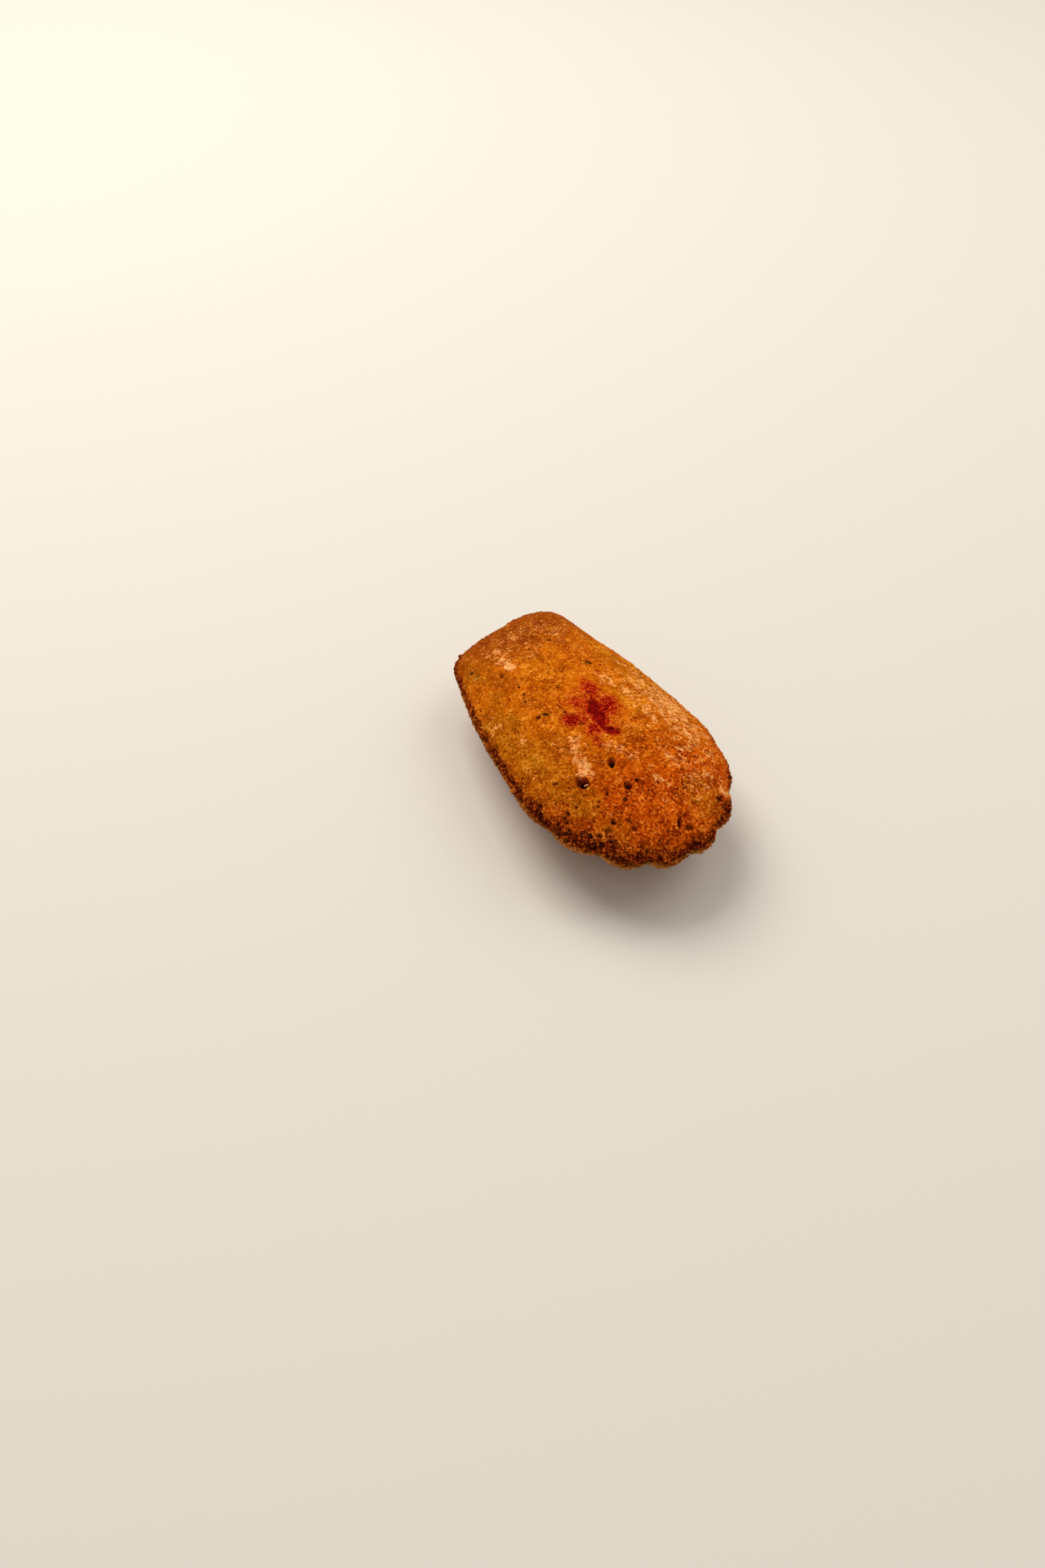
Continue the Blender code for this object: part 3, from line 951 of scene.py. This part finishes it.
def crumb_grain(finish, place):
    """The crumb's grain, with painted light on the relief's tops and painted shade in its hollows, coarse
    and contrasty where its relief is rough.
    """
    speck = finish.noise(place, SPECK_GRAIN, 2.0, 0.55)
    fine = finish.noise(place, FINE_GRAIN, 1.0, 0.5)
    threads = finish.curls(place, THREAD_GRAIN, 11.0) * fine.step(0.25, 0.6)
    clumps = finish.noise(place, CLUMP_GRAIN, 2.0, 0.6)
    cloud = finish.noise(place, CLOUD_GRAIN, 3.0, 0.6)
    # The relief's height lightens the crumb's tops and darkens its hollows: painted light and shade
    grit = (speck - 0.5) * 1.4 + (threads - 0.2) * 0.40 + finish.mask("high") * 0.40
    grit = grit + (fine - 0.5) * 0.45 + (clumps - 0.5) * 0.6
    shade = grit * finish.mask("rough") + (cloud - 0.5) * 0.95 + finish.mask("tint") * 0.12 + 0.5
    return CrumbGrain(speck, fine, clumps, threads, grit, shade)


def crust_colour(finish, grain):
    """Orange crumb: russet at the wide end, brown where baked, golden on the flanks, olive in spots."""
    colour = finish.ramp(grain.shade, ORANGE)
    for name, stops in (("wide_end", RUSSET), ("baked", BROWN), ("gold", GOLDEN)):
        colour = finish.mix((finish.mask(name) * 0.9).clamp(), colour, finish.ramp(grain.shade, stops))
    return finish.mix((finish.mask("olive") * (1.2 - grain.speck)).clamp(), colour, OLIVE_GREEN)


def add_flour(finish, place, grain, colour):
    """Clumps and wisps of pale flour."""
    wisps = (grain.threads + finish.curls(place, WISP_GRAIN, 10.0)).clamp()
    clumped = finish.mask("flour") * 1.25 - 0.62 + (grain.clumps - 0.5) * 3.4
    floured = (clumped + (wisps - 0.3) * 0.5 + (grain.fine - 0.5) * 0.6).clamp()
    return finish.mix(floured * 0.95, colour, finish.mix(floured, PEACH, PALE_FLOUR))


def add_toast_and_shade(finish, grain, colour):
    """The burnt band of the rim, with painted shade along its near side, and painted shade in the bowls of
    its broken bubbles.
    """
    # The toasted band, darker along the near side as painted shade
    toast_and_shade = finish.mask("toast_and_shade")
    toasting_and_shade = (toast_and_shade * (1.25 - finish.mask("edge") * 0.45) - grain.grit * 0.35 * toast_and_shade).clamp()
    colour = finish.mix((toasting_and_shade * 1.1).clamp(), colour, finish.ramp(grain.shade, BURNT_AND_SHADED))
    # Painted shade in the bowls of the broken bubbles
    return finish.mix((finish.mask("bubble") * 0.85).clamp(), colour, BUBBLE_SHADE)


def add_stain(finish, grain, colour):
    """The haze of jam in the crumb, and the crumb that it has soaked."""
    stain = finish.mask("stain")
    colour = finish.mix((stain * 0.9 - 0.15).clamp() * 0.7, colour, JAM_HAZE)
    soaked = (stain * 1.15 - grain.speck * 1.2 - grain.fine * 0.7 + 0.68).step(-0.10, 0.95)
    depth = (grain.grit * 0.9 + 1.10 - stain * 0.55).clamp()
    return finish.mix(soaked, colour, finish.ramp(depth, SOAKED_RED))


def crumb_finish():
    """Baked crumb, toasted at the rim with painted shade along its near side, floured and stained in
    places, with painted shade in its pores and bubbles and painted light and shade from its relief, and
    paler on the ribbed shell.
    """
    finish = Finish("golden_crumb")
    place = finish.place()
    grain = crumb_grain(finish, place)
    colour = crust_colour(finish, grain)
    colour = add_flour(finish, place, grain, colour)
    colour = add_toast_and_shade(finish, grain, colour)
    colour = add_stain(finish, grain, colour)
    # Painted shade at the bottom of the pores and flecks
    colour = finish.mix((finish.mask("dark") * 1.1).clamp(), colour, PORE_SHADE)
    colour = finish.mix(finish.mask("fleck").clamp(), colour, FLECK_BLACK)
    shell = finish.mask("shell")
    in_groove = (finish.mask("groove") * 0.8).clamp()
    shell_colour = finish.mix(in_groove, finish.ramp(grain.shade, SHELL_BROWN), SHELL_GROOVE)
    relief = grain.speck + grain.threads * 0.5 + grain.fine * 0.3
    return finish.give(
        Base_Color=finish.mix(shell, colour, shell_colour),
        Roughness=0.92 - 0.12 * shell,
        Normal=finish.bump(relief, 0.16 * MM, 0.6),
        Specular_IOR_Level=0.02,
        Subsurface_Weight=0.12,
        Subsurface_Radius=(1.0, 0.35, 0.08),
        Subsurface_Scale=0.9 * MM,
    )


def sugar_finish():
    """Sugar and flour grains, pale and a little shiny, warmed by the crumb under them."""
    finish = Finish("sugar_dust")
    speck = finish.noise(finish.place(), SUGAR_GRAIN)
    light = (finish.mask("tint") * 0.35 + 0.5 + (speck - 0.5) * 0.4).clamp()
    below_rim = (finish.mask("shell") * 0.6).clamp()
    return finish.give(
        Base_Color=finish.mix(below_rim, finish.mix(light, WARM_SUGAR, LIGHT_SUGAR), RIM_SUGAR),
        Roughness=0.7,
        Specular_IOR_Level=0.1,
        Subsurface_Weight=0.3,
        Subsurface_Radius=(1.0, 0.6, 0.3),
        Subsurface_Scale=0.4 * MM,
    )


def jam_finish():
    """Dark red jam, sticky and dulled by crumbs."""
    finish = Finish("red_jam")
    place = finish.place()
    thick = finish.noise(place, JAM_CLUMP, 3.0, 0.6)
    pulp = finish.noise(place, JAM_PULP, 2.0, 0.6)
    return finish.give(
        Base_Color=finish.ramp(thick * 0.5 + pulp * 0.5, JAM_RED),
        Roughness=0.5 + pulp * 0.3,
        Normal=finish.bump(thick + pulp, 0.25 * MM, 0.9),
        Specular_IOR_Level=0.02,
        Subsurface_Weight=0.1,
        Subsurface_Radius=(1.0, 0.15, 0.1),
        Subsurface_Scale=0.8 * MM,
    )


def floor_finish():
    """A plain pale floor."""
    finish = Finish("pale_floor")
    return finish.give(Base_Color=FLOOR_COLOUR, Roughness=0.7, Specular_IOR_Level=0.15)


# Pieces


def make_cake(finish):
    """The cake and its masks."""
    skin = make_skin()
    add_relief(skin)
    write_masks(skin.mesh, skin.masks)
    cake = new_piece("cake_crumb", skin.mesh, finish)
    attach(cake, "root")
    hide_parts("cake")
    return skin


def make_jam():
    """The jam in the torn mouth: the solid jam, evened out into fine faces and made lumpy."""
    bm = bmesh.new()
    bm.from_mesh(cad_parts["jam_filling"].data)
    bmesh.ops.remove_doubles(bm, verts=bm.verts, dist=CAD_MERGE)
    mesh = bpy.data.meshes.new("jam_pool")
    bm.to_mesh(mesh)
    bm.free()
    mesh.materials.clear()
    pool = new_piece("jam_pool", mesh, jam_finish())
    remesh = pool.modifiers.new("Even", "REMESH")
    remesh.mode = "VOXEL"
    remesh.voxel_size = JAM_FINENESS
    evaluated = pool.evaluated_get(bpy.context.evaluated_depsgraph_get())
    fine = bpy.data.meshes.new_from_object(evaluated)
    pool.modifiers.clear()
    pool.data = fine
    bm = bmesh.new()
    bm.from_mesh(fine)
    every_axis = {"use_axis_x": True, "use_axis_y": True, "use_axis_z": True}
    for _ in range(JAM_SMOOTHINGS):
        bmesh.ops.smooth_vert(bm, verts=bm.verts, factor=0.5, **every_axis)
    bm.normal_update()
    lumps = JAM_LUMP_HEIGHT * field([vert.co for vert in bm.verts], JAM_LUMP_SIZE, 2.0, octaves=3)
    for vert, lump in zip(bm.verts, lumps):
        vert.co += vert.normal * lump
    bm.to_mesh(fine)
    bm.free()
    fine.name = "jam_pool"
    fine.shade_smooth()
    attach(pool, "root")
    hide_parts("jam_filling")


def make_grains(skin, crumb, sugar_dust):
    """Crumb, toasted crumb and sugar lying on the skin."""
    masks = skin.masks
    upper = 1 - masks["shell"]
    clear = 1 - np.maximum(masks["dark"], 0.7 * smooth_step(0.9, 1.4, masks["stain"]))
    patchy = np.clip(0.6 + field(skin.points, LOOSE_PATCH, 21.0), 0.05, 1.5)
    loose = upper * clear * (1 - masks["toast_and_shade"]) * patchy * masks["rough"] ** 2

    clumps = smooth_step(-0.05, 0.35, field(skin.points, SUGAR_CLUMP, 9.0, octaves=2))
    dusted = upper * clear * (masks["flour"] ** 1.5 * clumps + 0.006) * (1 - 0.8 * masks["toast_and_shade"])
    latitude = skin.ball[:, 2]
    fringe = smooth_step(*FRINGE_BEGINS, latitude) * (1 - smooth_step(*FRINGE_ENDS, latitude))
    fringe *= smooth_step(*FRINGE_FROM_MIDDLE, skin.points[:, 0])

    for name, weight, grains, finish in (
        ("crumb_grains", loose, CRUMB_GRAINS, crumb),
        ("toasted_grains", masks["toast_and_shade"], TOASTED_GRAINS, crumb),
        ("sugar_grains", dusted + 0.5 * fringe, SUGAR_GRAINS, sugar_dust),
    ):
        piece = scatter(name, skin, weight, grains, finish)
        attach(piece, "root")


# Studio


def make_floor():
    """A wide plain floor."""
    bm = bmesh.new()
    bmesh.ops.create_grid(bm, x_segments=1, y_segments=1, size=FLOOR_SIZE / 2)
    mesh = bpy.data.meshes.new("floor")
    bm.to_mesh(mesh)
    bm.free()
    floor = new_piece("floor", mesh, floor_finish())


def direction(azimuth, elevation):
    """Away from the cake: azimuth 0 is towards -Y, and 90 degrees towards +X."""
    flat = math.cos(elevation)
    return Vector((math.sin(azimuth) * flat, -math.cos(azimuth) * flat, math.sin(elevation)))


def make_camera():
    """The camera, above the cake's near side."""
    camera = bpy.data.objects.new("camera", bpy.data.cameras.new("camera"))
    bpy.context.scene.collection.objects.link(camera)
    camera.data.lens = LENS
    camera.data.sensor_width = SENSOR
    camera.data.clip_start = CLIP_START
    back = direction(CAMERA_AZIMUTH, CAMERA_ELEVATION)
    camera.location = CAMERA_AIM + back * CAMERA_DISTANCE
    level = (-back).to_track_quat("-Z", "Y")
    camera.rotation_mode = "QUATERNION"
    camera.rotation_quaternion = level @ Quaternion((0.0, 0.0, 1.0), CAMERA_ROLL)
    bpy.context.scene.camera = camera


def add_softbox(box):
    """A square soft light that faces the cake."""
    data = bpy.data.lights.new(box.name, "AREA")
    data.shape = "SQUARE"
    data.size = box.size
    data.energy = box.power
    data.color = box.colour
    light = bpy.data.objects.new(box.name, data)
    bpy.context.scene.collection.objects.link(light)
    back = direction(CAMERA_AZIMUTH + math.radians(box.azimuth), math.radians(box.elevation))
    light.location = back * box.distance
    light.rotation_mode = "QUATERNION"
    light.rotation_quaternion = (-back).to_track_quat("-Z", "Y")


def make_studio():
    """Soft light from behind on the left, a weaker one from the right, and a pale room."""
    for box in SOFTBOXES:
        add_softbox(box)
    world = bpy.data.worlds.new("pale_room")
    world.use_nodes = True
    background = world.node_tree.nodes["Background"]
    background.inputs["Color"].default_value = ROOM_COLOUR
    background.inputs["Strength"].default_value = ROOM_STRENGTH
    bpy.context.scene.world = world
    bpy.context.scene.view_settings.view_transform = "Standard"


def main():
    make_camera()
    make_studio()
    make_floor()
    crumb = crumb_finish()
    skin = make_cake(crumb)
    make_jam()
    sugar_dust = sugar_finish()
    make_grains(skin, crumb, sugar_dust)
    make_flakes(skin, sugar_dust)


main()
